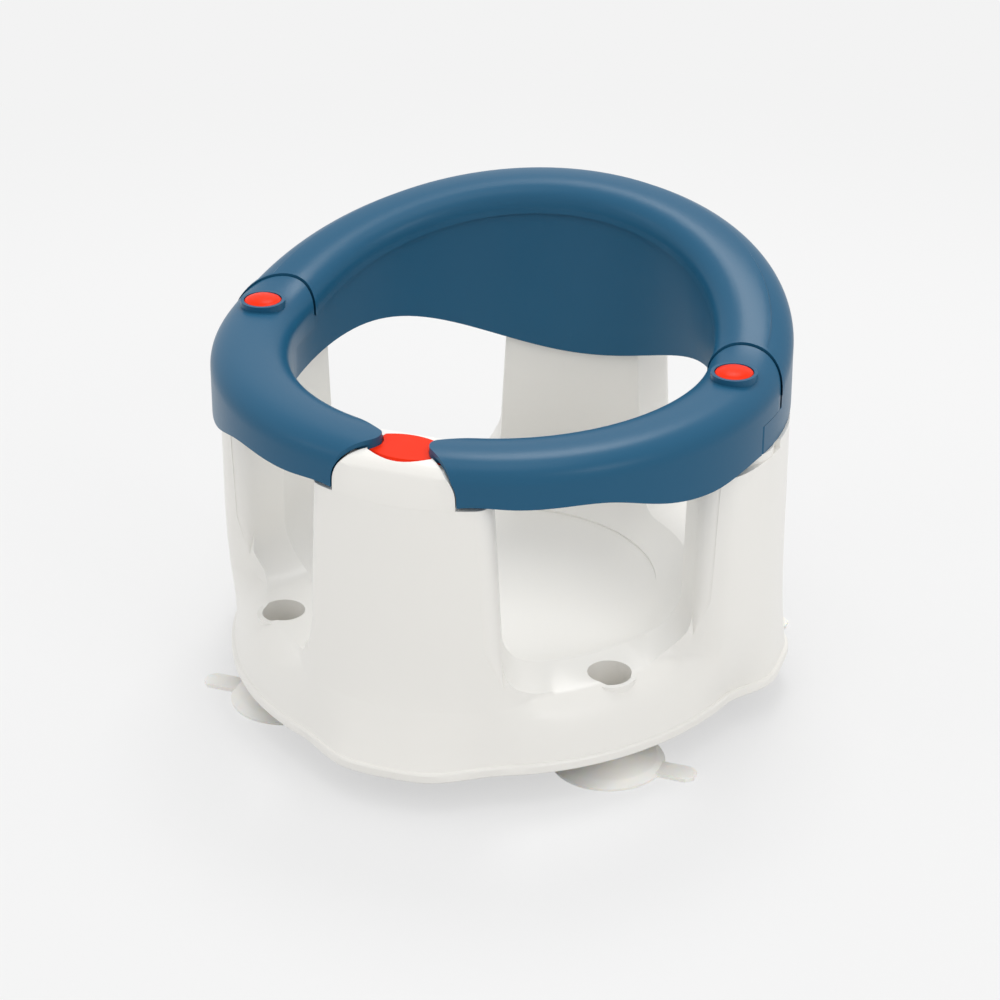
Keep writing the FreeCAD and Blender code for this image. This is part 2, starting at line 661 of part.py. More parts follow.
def above(side, level):
    return near_column(side).common(slab((-far, -far, level), (far, far, far)))


tenon_radius = value("rail_outer") - wall - value("tenon_gap")


def column_tops(inset):
    """What is cut from the tops of the four columns."""
    tops = [above("front", value("shoulder_level") - inset)]
    ring = upright(far, 0, 0, 0, far).cut(upright(tenon_radius - inset, 0, 0, 0, far))
    for side, turn in (("right", 1.0), ("left", -1.0)):
        across = turn * pivot.x
        pad = upright(value("tongue_radius") - value("slide_gap") - inset, across, pivot.y,
                      0, far)
        pad = pad.fuse(slab((-far, value("pad_front") + inset, 0), (far, far, far)))
        tenon = slab((-far, value("tenon_front") + inset, 0), (far, far, far)).cut(ring)
        tops.append(above(side, value("side_top") - inset).cut(pad))
        tops.append(above(side, value("pad_top") - inset).cut(tenon))
        tops.append(above(side, value("tenon_top") - inset))
    tenon = upright(tenon_radius - inset, 0, 0, 0, far)
    tops.append(above("back", value("back_shoulder") - inset).cut(tenon))
    tops.append(above("back", value("back_tenon_top") - inset))
    return tops


def base_solid(inset):
    form = base_form(inset)
    form = form.cut(four_ways(opening(inset)))
    form = form.cut(four_ways(edge_rounding("front", inset)))
    form = form.cut(four_ways(edge_rounding("side", inset)))
    form = form.cut(bowl(inset))
    form = form.cut(column_tops(inset))
    return form.fuse(head_form(inset, value("shoulder_level") - 12.0))


outer_form = base_solid(0.0)
print("base outer", outer_form.isValid(), len(outer_form.Solids), outer_form.Volume / 1000)
inner_form = base_solid(wall)
print("base inner", inner_form.isValid(), len(inner_form.Solids), inner_form.Volume / 1000)
base = outer_form.cut(inner_form)
print("base", base.isValid(), len(base.Solids), base.Volume / 1000, len(base.Faces))


# Arm tips: each arm ends in a wedge with a round tip that lies over the head of the post. Its
# underside follows the head, and only the tip reaches down into the notch of the push plate.

tip = FreeCAD.Vector(value("tip_across") + value("tip_radius"), -value("tip_forward"), 0)
head_gap = value("head_gap")


def tip_wedge():
    taper = math.radians(value("tip_taper"))
    out = FreeCAD.Vector(math.cos(taper), math.sin(taper), 0)
    touch = FreeCAD.Vector(-math.sin(taper), math.cos(taper), 0) * value("tip_radius")
    near = tip + touch
    back = near + out * 120.0
    front = FreeCAD.Vector(back.x, 2 * tip.y - back.y, 0)
    low = FreeCAD.Vector(near.x, 2 * tip.y - near.y, 0)
    wedge = Part.Face(Part.makePolygon([near, back, front, low, near])).extrude(
        FreeCAD.Vector(0, 0, far))
    return wedge.fuse([upright(value("tip_radius"), tip.x, tip.y, 0, far),
                       slab((90, -far, 0), (far, far, far))])


tip_block = arm_core.common(slab((0, -far, 0), (value("tip_solid"), 0, far)))
arm = arm.fuse(tip_block.common(arm_keep))
arm = arm.cut(head_profile(head_gap, 0.0, 0.0, far))
end_round = value("end_round")
rolled = []
for step in range(4):
    turn = math.radians(30.0 * step)
    rolled.append(head_wire(head_gap + end_round * (1.0 - math.cos(turn)),
                            value("end_round_low"),
                            value("rail_outer") + 1.0 - end_round * (1.0 - math.sin(turn))))
arm = arm.cut(Part.makeLoft(rolled, True, True))
tip_foot = upright(value("tip_radius"), tip.x, tip.y, value("tip_level"),
                   value("arm_crest") - wall).common(arm_core)
arm = arm.fuse(tip_foot).common(tip_wedge())
print("arm", arm.isValid(), len(arm.Solids), arm.Volume / 1000)

# Pivot of the arm: counterbore for the screw head, bore for its shoulder, and the collar
# round the red cap

seat_level = split + value("slide_gap") + value("lug_web")
cap_seat = cap_level - value("cap_sink")
collar_radius = value("cap_radius") + value("slide_gap")
collar = upright(collar_radius + value("collar_wall"), pivot.x, pivot.y, cap_seat - wall,
                 cap_level + value("collar_height"))
arm = arm.fuse(collar)
arm = arm.cut([upright(value("shoulder_radius") + value("running_gap"), pivot.x, pivot.y, 0, far),
               upright(value("screw_head_radius") + value("slide_gap"), pivot.x, pivot.y,
                       seat_level, far),
               upright(collar_radius, pivot.x, pivot.y, cap_seat, far)])
print("arm", arm.isValid(), len(arm.Solids), arm.Volume / 1000)

# Screw bosses of the backrest: one over each side column and two over the back column

fixing_places = [(value("fixing_circle") * math.cos(math.asin(value("side_fixing_back")
                                                              / value("fixing_circle"))),
                  value("side_fixing_back"), value("tenon_top")),
                 (value("back_fixing_across"), value("fixing_circle"),
                  value("back_tenon_top"))]
for across, along, level in fixing_places:
    boss = upright(value("fixing_radius") + value("boss_wall"), across, along,
                   level + value("slide_gap"), far).common(back_core)
    back_half = back_half.fuse(boss)
    back_half = back_half.cut(upright(value("fixing_radius") + value("thread_fit"), across,
                                      along, level - 1.0,
                                      level - wall + value("fixing_length") + 0.6))
backrest = back_half.fuse(mirrored(back_half)).removeSplitter()
print("backrest", backrest.isValid(), len(backrest.Solids), backrest.Volume / 1000)

# Fittings of the base: screw holes in the tenons, drain holes with the tubes and webs that
# hold the suction cups, and the pocket and bosses of the latch in the head

for across, along, level in fixing_places:
    for side in (across, -across):
        base = base.cut(upright(value("fixing_radius") + value("slide_gap"), side, along,
                                level - 2 * wall, level + 1.0))

drain = value("drain_radius")
drain_across = value("drain_across")
drain_along = value("drain_along")
web_low = value("web_level")
web_high = web_low + value("web_thickness")
for across in (drain_across, -drain_across):
    for along in (drain_along, -drain_along):
        base = base.cut(upright(drain, across, along, web_low, sill + 1.0))
        tube = upright(drain + wall, across, along, web_low, sill - wall / 2)
        tube = tube.cut([upright(drain, across, along, web_high, far),
                         upright(value("cup_neck") + value("cup_fit"), across, along, 0, far)])
        base = base.fuse(tube)


def plate_plan(grow):
    """Plan of the push plate: a lens with cut ends, grown all round."""
    front_half = value("plate_front_half") + grow
    back_half_width = value("plate_back_half") + grow
    front_corner = -value("plate_front_corner") - grow
    back_corner = -value("plate_back_corner") + grow
    corners = [FreeCAD.Vector(-front_half, front_corner, 0),
               FreeCAD.Vector(front_half, front_corner, 0),
               FreeCAD.Vector(back_half_width, back_corner, 0),
               FreeCAD.Vector(-back_half_width, back_corner, 0)]
    front = FreeCAD.Vector(0, -value("plate_front") - grow, 0)
    back = FreeCAD.Vector(0, -value("plate_back") + grow, 0)
    edges = [Part.Arc(corners[0], front, corners[1]).toShape(),
             Part.LineSegment(corners[1], corners[2]).toShape(),
             Part.Arc(corners[2], back, corners[3]).toShape(),
             Part.LineSegment(corners[3], corners[0]).toShape()]
    return Part.Face(Part.Wire(edges))


def plate_prism(grow, low, high):
    prism = plate_plan(grow).extrude(FreeCAD.Vector(0, 0, high - low))
    prism.translate(FreeCAD.Vector(0, 0, low))
    return prism


def ledge(grow, low, high):
    half = value("ledge_half") + grow
    along = value("ledge_along") + grow
    return slab((-half, tip.y - along, low), (half, tip.y + along, high))


plate_gap = value("plate_gap")
plate_low = value("plate_top") - value("plate_depth")
ledge_top = value("tip_level") - value("notch_gap")
guide_low = plate_low - value("plate_travel") - 1.0
head_inner = head_form(wall / 2, value("shoulder_level") - 12.0)
guide = plate_prism(plate_gap + 1.6, guide_low, far).fuse(ledge(plate_gap + 1.6, guide_low, far))
retainer_top = plate_low - value("spring_length")
for side in (1.0, -1.0):
    boss = upright(value("latch_boss_radius"), side * value("retainer_screw_across"), tip.y,
                   retainer_top + value("slide_gap") / 3, far)
    guide = guide.fuse(boss)
base = base.fuse(guide.common(head_inner))
slots = []
for side in (1.0, -1.0):
    slot_radius = value("tip_radius") + value("notch_gap")
    slot = upright(slot_radius, side * tip.x, tip.y, ledge_top, far)
    run = slab((0, -slot_radius, ledge_top), (40, slot_radius, far))
    run.Placement = FreeCAD.Placement(FreeCAD.Vector(side * tip.x, tip.y, 0),
                                      FreeCAD.Rotation(FreeCAD.Vector(0, 0, 1),
                                                       -90 + side * 50))
    slots += [slot, run]
base = base.cut([plate_prism(plate_gap, guide_low - 1.0, far),
                 ledge(plate_gap, guide_low - 1.0, far)] + slots)
for side in (1.0, -1.0):
    base = base.cut(upright(value("small_screw_radius") + value("thread_fit"),
                            side * value("retainer_screw_across"), tip.y, 0.0,
                            retainer_top + value("small_screw_length")).common(
        slab((-60, -far, retainer_top - 5), (60, 0, far))))
print("base", base.isValid(), len(base.Solids), base.Volume / 1000, len(base.Faces))

plate = plate_prism(0.0, plate_low, value("plate_top"))
plate = plate.fuse(ledge(0.0, plate_low, ledge_top))
for side in (1.0, -1.0):
    plate = plate.cut(upright(value("tip_radius") + value("notch_gap"), side * tip.x, tip.y,
                              ledge_top, far))
stem_low = retainer_top - value("retainer_thickness") - value("clip_thickness") - 1.6
plate = plate.fuse(upright(value("stem_radius"), 0, tip.y, stem_low, plate_low + 1.0))
print("plate", plate.isValid(), len(plate.Solids), plate.Volume / 1000)

keep("seat_base", base)
keep("backrest_ring", backrest)
keep("right_arm", arm)
keep("left_arm", mirrored(arm))
keep("latch_button", plate)


def plane(body, role):
    return [item for item in body.Origin.OriginFeatures if item.Role == role][0]


def outline(body, name, role, points, holes=()):
    """A closed sketch: each corner lies at two distances from the origin, as expressions;
    each hole is a circle with its middle and radius."""
    sketch = body.newObject("Sketcher::SketchObject", name)
    sketch.AttachmentSupport = [(plane(body, role), "")]
    sketch.MapMode = "FlatFace"
    amounts = [tuple(float(doc.size.evalExpression(part)) for part in point)
               for point in points]
    corners = [FreeCAD.Vector(across, up, 0) for across, up in amounts]
    for start, finish in zip(corners, corners[1:] + corners[:1]):
        sketch.addGeometry(Part.LineSegment(start, finish), False)
    count = len(corners)
    for index in range(count):
        sketch.addConstraint(Sketcher.Constraint("Coincident", index, 2,
                                                 (index + 1) % count, 1))
    for index, (across, up) in enumerate(points):
        for kind, part, amount in (("DistanceX", across, amounts[index][0]),
                                   ("DistanceY", up, amounts[index][1])):
            number = sketch.addConstraint(
                Sketcher.Constraint(kind, -1, 1, index, 1, amount))
            sketch.setExpression("Constraints[%d]" % number, part)
    for across, up, radius in holes:
        place = [float(doc.size.evalExpression(part)) for part in (across, up, radius)]
        index = sketch.addGeometry(Part.Circle(FreeCAD.Vector(place[0], place[1], 0),
                                               FreeCAD.Vector(0, 0, 1), place[2]), False)
        for kind, part, amount in (("DistanceX", across, place[0]),
                                   ("DistanceY", up, place[1])):
            number = sketch.addConstraint(
                Sketcher.Constraint(kind, -1, 1, index, 3, amount))
            sketch.setExpression("Constraints[%d]" % number, part)
        number = sketch.addConstraint(Sketcher.Constraint("Radius", index, place[2]))
        sketch.setExpression("Constraints[%d]" % number, radius)
    return sketch


def turned(label, points, across, along, level="0"):
    """A turned piece: its half section, as distances from its axis and heights."""
    body = doc.addObject("PartDesign::Body", label)
    body.Label = label
    profile = outline(body, label + "_profile", "XZ_Plane", points)
    turn = body.newObject("PartDesign::Revolution", label + "_turn")
    turn.Profile = profile
    turn.ReferenceAxis = (profile, ["V_Axis"])
    turn.Angle = 360.0
    for axis, part in (("x", across), ("y", along), ("z", level)):
        body.setExpression(".Placement.Base." + axis, part)
    doc.recompute()
    return body


def s(text):
    """Writes the names of sizes in an expression as cells of the sheet."""
    return re.sub(r"\b([a-z]+(?:_[a-z]+)+|wall)\b", r"size.\1", text)


cap_text = "(pivot_crest + back_slope * crest_blend * log(1 + exp(-1 * pivot_forward / crest_blend)))"
seat_text = "(split_level + slide_gap + lug_web)"
head_low = seat_text + " + thread_fit * 2"
head_high = head_low + " + screw_head_height"
screw_points = [("0", "split_level - thread_length"),
                ("thread_radius", "split_level - thread_length"),
                ("thread_radius", "split_level"), ("shoulder_radius", "split_level"),
                ("shoulder_radius", head_low), ("screw_head_radius", head_low),
                ("screw_head_radius", head_high), ("thread_radius", head_high),
                ("thread_radius", head_high + " - 2.4"), ("0", head_high + " - 2.4")]
cap_points = [("0", head_high + " + 1"), ("screw_head_radius", head_high + " + 1"),
              ("screw_head_radius", cap_text + " - cap_sink"),
              ("cap_radius", cap_text + " - cap_sink"),
              ("cap_radius", cap_text + " + cap_height * 0.5"),
              ("cap_radius - 0.5", cap_text + " + cap_height * 0.7"),
              ("cap_radius - 1.6", cap_text + " + cap_height * 0.86"),
              ("cap_radius * 0.6", cap_text + " + cap_height * 0.96"),
              ("0", cap_text + " + cap_height")]
fixing_points = [("0", "0"), ("fixing_head_radius", "0"),
                 ("fixing_head_radius", "fixing_head_height"),
                 ("fixing_radius", "fixing_head_height"),
                 ("fixing_radius", "fixing_head_height + fixing_length"),
                 ("0", "fixing_head_height + fixing_length")]
small_points = [("0", "0"), ("small_screw_head", "0"), ("small_screw_head", "1.8"),
                ("small_screw_radius", "1.8"),
                ("small_screw_radius", "1.8 + retainer_thickness + small_screw_length - 0.5"),
                ("0", "1.8 + retainer_thickness + small_screw_length - 0.5")]
cup_points = [("0", "cup_height * 0.52"), ("cup_radius * 0.3", "cup_height * 0.5"),
              ("cup_radius * 0.62", "cup_height * 0.34"),
              ("cup_radius * 0.84", "cup_height * 0.14"), ("cup_radius - 1.6", "0"),
              ("cup_radius", "0"), ("cup_radius", "1.4"),
              ("cup_radius * 0.86", "cup_height * 0.14 + cup_wall"),
              ("cup_radius * 0.64", "cup_height * 0.36 + cup_wall"),
              ("cup_radius * 0.36", "cup_height * 0.62 + cup_wall"),
              ("cup_head + 2.4", "cup_height * 0.8 + cup_wall"),
              ("cup_head + 1", "web_level - cup_fit"), ("cup_neck", "web_level - cup_fit"),
              ("cup_neck", "web_level + web_thickness + cup_fit"),
              ("cup_head", "web_level + web_thickness + cup_fit"),
              ("cup_head", "web_level + web_thickness + 2"),
              ("cup_head * 0.6", "web_level + web_thickness + 5.4"),
              ("0", "web_level + web_thickness + 6")]


def cells(points):
    return [(s(across), s(up)) for across, up in points]


for side, sign in (("right", ""), ("left", "-1 * ")):
    turned(side + "_pivot_screw", cells(screw_points), s(sign + "pivot_across"),
           s("-1 * pivot_forward"))
    turned(side + "_pivot_cap", cells(cap_points), s(sign + "pivot_across"),
           s("-1 * pivot_forward"))
    side_place = s(sign + "sqrt(fixing_circle ^ 2 - side_fixing_back ^ 2)")
    turned(side + "_side_screw", cells(fixing_points), side_place, s("side_fixing_back"),
           s("tenon_top - wall - thread_fit - fixing_head_height"))
    turned(side + "_back_screw", cells(fixing_points), s(sign + "back_fixing_across"),
           s("fixing_circle"), s("back_tenon_top - wall - thread_fit - fixing_head_height"))
    turned(side + "_retainer_screw", cells(small_points), s(sign + "retainer_screw_across"),
           s("-1 * tip_forward"), s("plate_top - plate_depth - spring_length"
                                    " - retainer_thickness - 1.8 - thread_fit"))
    for end, along, heading in (("front", "-1 * ", 0.0), ("rear", "", 0.0)):
        cup = turned(end + "_" + side + "_suction_cup", cells(cup_points),
                     s(sign + "drain_across"), s(along + "drain_along"))
        tab = outline(cup, cup.Label + "_tab", "XY_Plane",
                      cells([("cup_radius - 3", "-1 * tab_half_width"),
                             ("cup_radius + tab_reach - 4", "-1 * tab_half_width"),
                             ("cup_radius + tab_reach", "-1 * tab_half_width + 4"),
                             ("cup_radius + tab_reach", "tab_half_width - 4"),
                             ("cup_radius + tab_reach - 4", "tab_half_width"),
                             ("cup_radius - 3", "tab_half_width")]))
        pad = cup.newObject("PartDesign::Pad", cup.Label + "_tab_pad")
        pad.Profile = tab
        pad.setExpression("Length", s("tab_thickness"))
        outward = 0.0 if side == "right" else 180.0
        cup.Placement = FreeCAD.Placement(cup.Placement.Base,
                                          FreeCAD.Rotation(FreeCAD.Vector(0, 0, 1), outward))
        doc.recompute()

retainer = doc.addObject("PartDesign::Body", "latch_retainer")
retainer.Label = "latch_retainer"
strap = outline(retainer, "retainer_plan", "XY_Plane",
                cells([("-1 * retainer_half_length", "-1 * retainer_half_width"),
                       ("retainer_half_length", "-1 * retainer_half_width"),
                       ("retainer_half_length", "retainer_half_width"),
                       ("-1 * retainer_half_length", "retainer_half_width")]),
                [(s("0"), s("0"), s("stem_radius + stem_fit")),
                 (s("retainer_screw_across"), s("0"), s("small_screw_radius + thread_fit")),
                 (s("-1 * retainer_screw_across"), s("0"),
                  s("small_screw_radius + thread_fit"))])
strap_pad = retainer.newObject("PartDesign::Pad", "retainer_pad")
strap_pad.Profile = strap
strap_pad.setExpression("Length", s("retainer_thickness"))
retainer.setExpression(".Placement.Base.y", s("-1 * tip_forward"))
retainer.setExpression(".Placement.Base.z",
                       s("plate_top - plate_depth - spring_length - retainer_thickness"))
turned("latch_clip", cells([("stem_radius", "0"), ("clip_radius", "0"),
                            ("clip_radius", "clip_thickness"),
                            ("stem_radius", "clip_thickness")]),
       s("0"), s("-1 * tip_forward"),
       s("plate_top - plate_depth - spring_length - retainer_thickness - slide_gap"
         " - clip_thickness"))

wire = value("spring_wire") / 2
coil_low = retainer_top + wire + 0.1
coil_high = plate_low - wire - 0.1
helix = Part.makeHelix((coil_high - coil_low) / value("spring_turns"), coil_high - coil_low,
                       value("spring_radius"))
start = Part.Wire(Part.makeCircle(wire, FreeCAD.Vector(value("spring_radius"), 0, 0),
                                  FreeCAD.Vector(0, 1, 0)))
coil = Part.Wire(helix).makePipeShell([start], True, True)
coil.translate(FreeCAD.Vector(0, tip.y, coil_low))
keep("latch_spring", coil)

doc.recompute()
pieces = [item for item in doc.Objects
          if item.TypeId in ("PartDesign::Body", "Part::Feature")]
for item in doc.Objects:
    if "Invalid" in item.State or "Error" in item.State:
        raise RuntimeError(item.Name + " failed: " + str(item.State))
for item in pieces:
    if item.Shape.isNull() or not item.Shape.isValid():
        raise RuntimeError(item.Label + " has no valid shape")
    print(item.Label, len(item.Shape.Solids), round(item.Shape.Volume / 1000, 2),
          len(item.Shape.Faces))
for item in pieces:
    item.Shape.exportStep("parts/" + item.Label + ".step")
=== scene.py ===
import bpy
import math
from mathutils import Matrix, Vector


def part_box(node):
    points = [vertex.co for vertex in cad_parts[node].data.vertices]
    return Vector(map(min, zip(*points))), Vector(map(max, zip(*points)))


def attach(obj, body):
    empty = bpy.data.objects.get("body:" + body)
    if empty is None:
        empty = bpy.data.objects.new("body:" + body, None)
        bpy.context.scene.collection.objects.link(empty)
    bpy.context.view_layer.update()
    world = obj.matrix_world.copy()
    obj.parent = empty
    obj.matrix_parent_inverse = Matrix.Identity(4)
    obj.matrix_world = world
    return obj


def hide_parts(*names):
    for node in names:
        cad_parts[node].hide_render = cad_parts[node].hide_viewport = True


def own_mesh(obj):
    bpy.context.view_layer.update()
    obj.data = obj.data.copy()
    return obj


# Baby bath seat in a bright studio: white tub, blue rail, red caps and push plate.

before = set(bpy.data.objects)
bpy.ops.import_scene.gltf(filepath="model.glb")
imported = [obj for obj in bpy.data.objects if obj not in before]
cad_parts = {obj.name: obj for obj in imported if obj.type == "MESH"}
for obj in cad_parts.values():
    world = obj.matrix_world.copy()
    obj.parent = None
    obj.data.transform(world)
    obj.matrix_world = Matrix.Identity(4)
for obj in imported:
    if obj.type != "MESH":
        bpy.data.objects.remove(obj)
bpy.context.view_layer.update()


def deselectAll():
    for item in bpy.context.selected_objects:
        item.select_set(False)
    bpy.context.view_layer.objects.active = None


deselectAll()


# Node helpers

def newGroup(name, inputs, outputs):
    group = bpy.data.node_groups.new(name, "ShaderNodeTree")
    for label, kind, start in inputs:
        socket = group.interface.new_socket(label, in_out="INPUT", socket_type=kind)
        socket.default_value = start
    for label, kind in outputs:
        group.interface.new_socket(label, in_out="OUTPUT", socket_type=kind)
    return group, group.nodes.new("NodeGroupInput"), group.nodes.new("NodeGroupOutput")


def mathNode(tree, kind, first, second):
    node = tree.nodes.new("ShaderNodeMath")
    node.operation = kind
    for index, value in enumerate((first, second)):
        if hasattr(value, "is_linked"):
            tree.links.new(value, node.inputs[index])
        else:
            node.inputs[index].default_value = value
    return node.outputs[0]


def noiseNode(tree, vector, scale, detail):
    node = tree.nodes.new("ShaderNodeTexNoise")
    node.inputs["Scale"].default_value = scale
    node.inputs["Detail"].default_value = detail
    tree.links.new(vector, node.inputs["Vector"])
    return node.outputs["Fac"]


# Moulded surface that all the finishes share

skinPattern = {
    "cloudScale": 9.0,  # slow drift in tint
    "cloudShare": 0.6,
    "peelScale": 1400.0,  # fine moulded texture
    "peelHeight": 0.0002,
    "grainScale": 520.0}  # uneven gloss


def makeMouldedSkin():
    group, inNode, outNode = newGroup(
        "mouldedSkin",
        [("Vector", "NodeSocketVector", (0.0, 0.0, 0.0)),
         ("Color", "NodeSocketColor", (0.8, 0.8, 0.8, 1.0)),
         ("Shade", "NodeSocketColor", (0.7, 0.7, 0.7, 1.0)),
         ("Rough Low", "NodeSocketFloat", 0.29),
         ("Rough High", "NodeSocketFloat", 0.4)],
        [("Color", "NodeSocketColor"), ("Roughness", "NodeSocketFloat"),
         ("Height", "NodeSocketFloat")])
    vector = inNode.outputs["Vector"]
    cloud = noiseNode(group, vector, skinPattern["cloudScale"], 2.0)
    peel = noiseNode(group, vector, skinPattern["peelScale"], 1.0)
    grain = noiseNode(group, vector, skinPattern["grainScale"], 2.0)
    mix = group.nodes.new("ShaderNodeMix")
    mix.data_type = "RGBA"
    share = mathNode(group, "MULTIPLY", cloud, skinPattern["cloudShare"])
    group.links.new(share, mix.inputs["Factor"])
    group.links.new(inNode.outputs["Color"], mix.inputs["A"])
    group.links.new(inNode.outputs["Shade"], mix.inputs["B"])
    group.links.new(mix.outputs["Result"], outNode.inputs["Color"])
    low = inNode.outputs["Rough Low"]
    span = mathNode(group, "SUBTRACT", inNode.outputs["Rough High"], low)
    rough = mathNode(group, "ADD", mathNode(group, "MULTIPLY", span, grain), low)
    group.links.new(rough, outNode.inputs["Roughness"])
    group.links.new(peel, outNode.inputs["Height"])
    return group


mouldedSkin = makeMouldedSkin()


# Finishes: colour and shade are the two ends of the tint, and no roughness goes under 0.28.

looks = {
    "whiteShell": {"color": (0.885, 0.868, 0.828), "shade": (0.865, 0.843, 0.795),
                   "roughLow": 0.29, "roughHigh": 0.36, "bump": 0.04, "gloss": 0.4},
    "blueRail": {"color": (0.016, 0.102, 0.195), "shade": (0.014, 0.092, 0.178),
                 "roughLow": 0.285, "roughHigh": 0.35, "bump": 0.05, "gloss": 0.2},
    "redButton": {"color": (0.90, 0.034, 0.006), "shade": (0.84, 0.028, 0.005),
                  "roughLow": 0.29, "roughHigh": 0.34, "bump": 0.03, "gloss": 0.08},
    "softCup": {"color": (1.0, 0.95, 0.885), "shade": (0.99, 0.93, 0.86),
                "roughLow": 0.30, "roughHigh": 0.38, "bump": 0.05, "gloss": 0.4,
                "subsurface": 0.8, "glowDepth": (0.006, 0.005, 0.004)},
    "plainSteel": {"color": (0.55, 0.55, 0.56), "shade": (0.45, 0.45, 0.46),
                   "roughLow": 0.29, "roughHigh": 0.42, "bump": 0.04, "gloss": 0.5,
                   "metal": 1.0}}


def finishMaterial(name, look):
    material = bpy.data.materials.new(name)
    material.use_nodes = True
    tree = material.node_tree
    shader = tree.nodes["Principled BSDF"]
    coords = tree.nodes.new("ShaderNodeTexCoord")
    skin = tree.nodes.new("ShaderNodeGroup")
    skin.node_tree = mouldedSkin
    tree.links.new(coords.outputs["Object"], skin.inputs["Vector"])
    skin.inputs["Color"].default_value = look["color"] + (1.0,)
    skin.inputs["Shade"].default_value = look["shade"] + (1.0,)
    skin.inputs["Rough Low"].default_value = look["roughLow"]
    skin.inputs["Rough High"].default_value = look["roughHigh"]
    bump = tree.nodes.new("ShaderNodeBump")
    bump.inputs["Strength"].default_value = look["bump"]
    bump.inputs["Distance"].default_value = skinPattern["peelHeight"]
    tree.links.new(skin.outputs["Height"], bump.inputs["Height"])
    tree.links.new(skin.outputs["Color"], shader.inputs["Base Color"])
    tree.links.new(skin.outputs["Roughness"], shader.inputs["Roughness"])
    tree.links.new(bump.outputs["Normal"], shader.inputs["Normal"])
    shader.inputs["Specular IOR Level"].default_value = look["gloss"]
    if "metal" in look:
        shader.inputs["Metallic"].default_value = look["metal"]
    if "subsurface" in look:
        shader.inputs["Subsurface Weight"].default_value = look["subsurface"]
        shader.inputs["Subsurface Radius"].default_value = look["glowDepth"]
    return material


finishes = {name: finishMaterial(name, look) for name, look in looks.items()}
print("finishes ready")

dressing = {
    "seat_base": "whiteShell", "latch_retainer": "whiteShell", "backrest_ring": "blueRail",
    "right_arm": "blueRail", "left_arm": "blueRail", "latch_button": "redButton",
    "right_pivot_cap": "redButton", "left_pivot_cap": "redButton"}
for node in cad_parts:
    solid = bpy.data.objects.get(node)
    finish = dressing.get(node, "softCup" if node.endswith("cup") else "plainSteel")
    solid.data.materials.clear()
    solid.data.materials.append(finishes[finish])
print("solids dressed")


# Pieces that start from a solid's own surface and take its place

def surfaceCopy(node, name):
    deselectAll()
    piece = bpy.data.objects.new(name, bpy.data.objects[node].data.copy())
    bpy.context.scene.collection.objects.link(piece)
    bpy.context.view_layer.objects.active = piece
    piece.select_set(True)
    bpy.ops.object.mode_set(mode="EDIT")
    bpy.ops.mesh.select_all(action="SELECT")
    bpy.ops.mesh.customdata_custom_splitnormals_clear()
    bpy.ops.mesh.remove_doubles(threshold=0.00001)
    bpy.ops.object.mode_set(mode="OBJECT")
    return piece


def standIn(piece, node, body, smoothAngle):
    bpy.ops.object.shade_smooth_by_angle(angle=math.radians(smoothAngle))
    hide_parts(node)
    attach(piece, body)


def climb(value, low, high):  # 0 to 1 between low and high
    return min(1.0, max(0.0, (value - low) / (high - low)))


def ease(share):  # the same climb with soft ends
    return share * share * (3.0 - 2.0 * share)


# Shell of the seat: the head of the front post is drawn out to the post's face, so that one smooth
# front runs up and rolls over under the push plate. The face's radius swells with the turn.

shell = {"postRadius": 0.16575, "postSwell": 0.006, "swellTurns": 4.0, "headRadius": 0.169,
         "headHalfWidth": 0.0362, "headLow": 0.1839, "headDepth": 0.150, "ledge": 0.0003,
         "blendLow": 0.1855, "blendHigh": 0.2075, "touch": 0.00005, "smoothAngle": 32.0}


def onHead(place, reach):
    if place.z < shell["headLow"] or abs(place.x) > shell["headHalfWidth"] or place.y > 0.0:
        return False
    if place.z < shell["blendLow"] and reach < shell["headRadius"] - shell["ledge"]:
        return False
    return reach >= shell["headDepth"]


def seatShell():
    piece = surfaceCopy("seat_base", "seatShell")
    for vertex in piece.data.vertices:
        place = vertex.co
        reach = math.hypot(place.x, place.y)
        turn = math.atan2(place.x, -place.y)
        face = shell["postRadius"] + shell["postSwell"] * math.cos(shell["swellTurns"] * turn)
        if not onHead(place, reach) or reach > face - shell["touch"]:
            continue
        share = ease(1.0 - climb(place.z, shell["blendLow"], shell["blendHigh"]))
        grown = (face - shell["headRadius"]) * share
        place.x *= 1.0 + grown / reach
        place.y *= 1.0 + grown / reach
    standIn(piece, "seat_base", "frame", shell["smoothAngle"])


seatShell()
print("seat shell ready")


# Arms: the lower edge rises to the corner of the backrest's tongue behind the pivot. Turns are in
# degrees about the middle of the seat, from the line through both pivots.

arm = {"riseStart": -26.0, "riseEnd": -9.5, "rise": 0.0041, "edge": 0.1734, "fadeHeight": 0.014,
       "smoothAngle": 32.0}


def armShell(node, name, body):
    piece = surfaceCopy(node, name)
    for vertex in piece.data.vertices:
        place = vertex.co
        turn = math.degrees(math.atan2(place.y, abs(place.x)))
        share = ease(climb(turn, arm["riseStart"], arm["riseEnd"]))
        fade = 1.0 - climb(place.z, arm["edge"], arm["edge"] + arm["fadeHeight"])
        place.z += arm["rise"] * share * fade
    standIn(piece, node, body, arm["smoothAngle"])


armShell("right_arm", "rightArmShell", "right_arm_body")
armShell("left_arm", "leftArmShell", "left_arm_body")
print("arm shells ready")


# Push plate: lies down on the roll of the head, so its front edge is thin.

plate = {"foot": 0.2053, "flange": 0.0005, "drop": 0.0038, "sink": 0.0006, "pull": 0.004,
         "smoothAngle": 30.0}


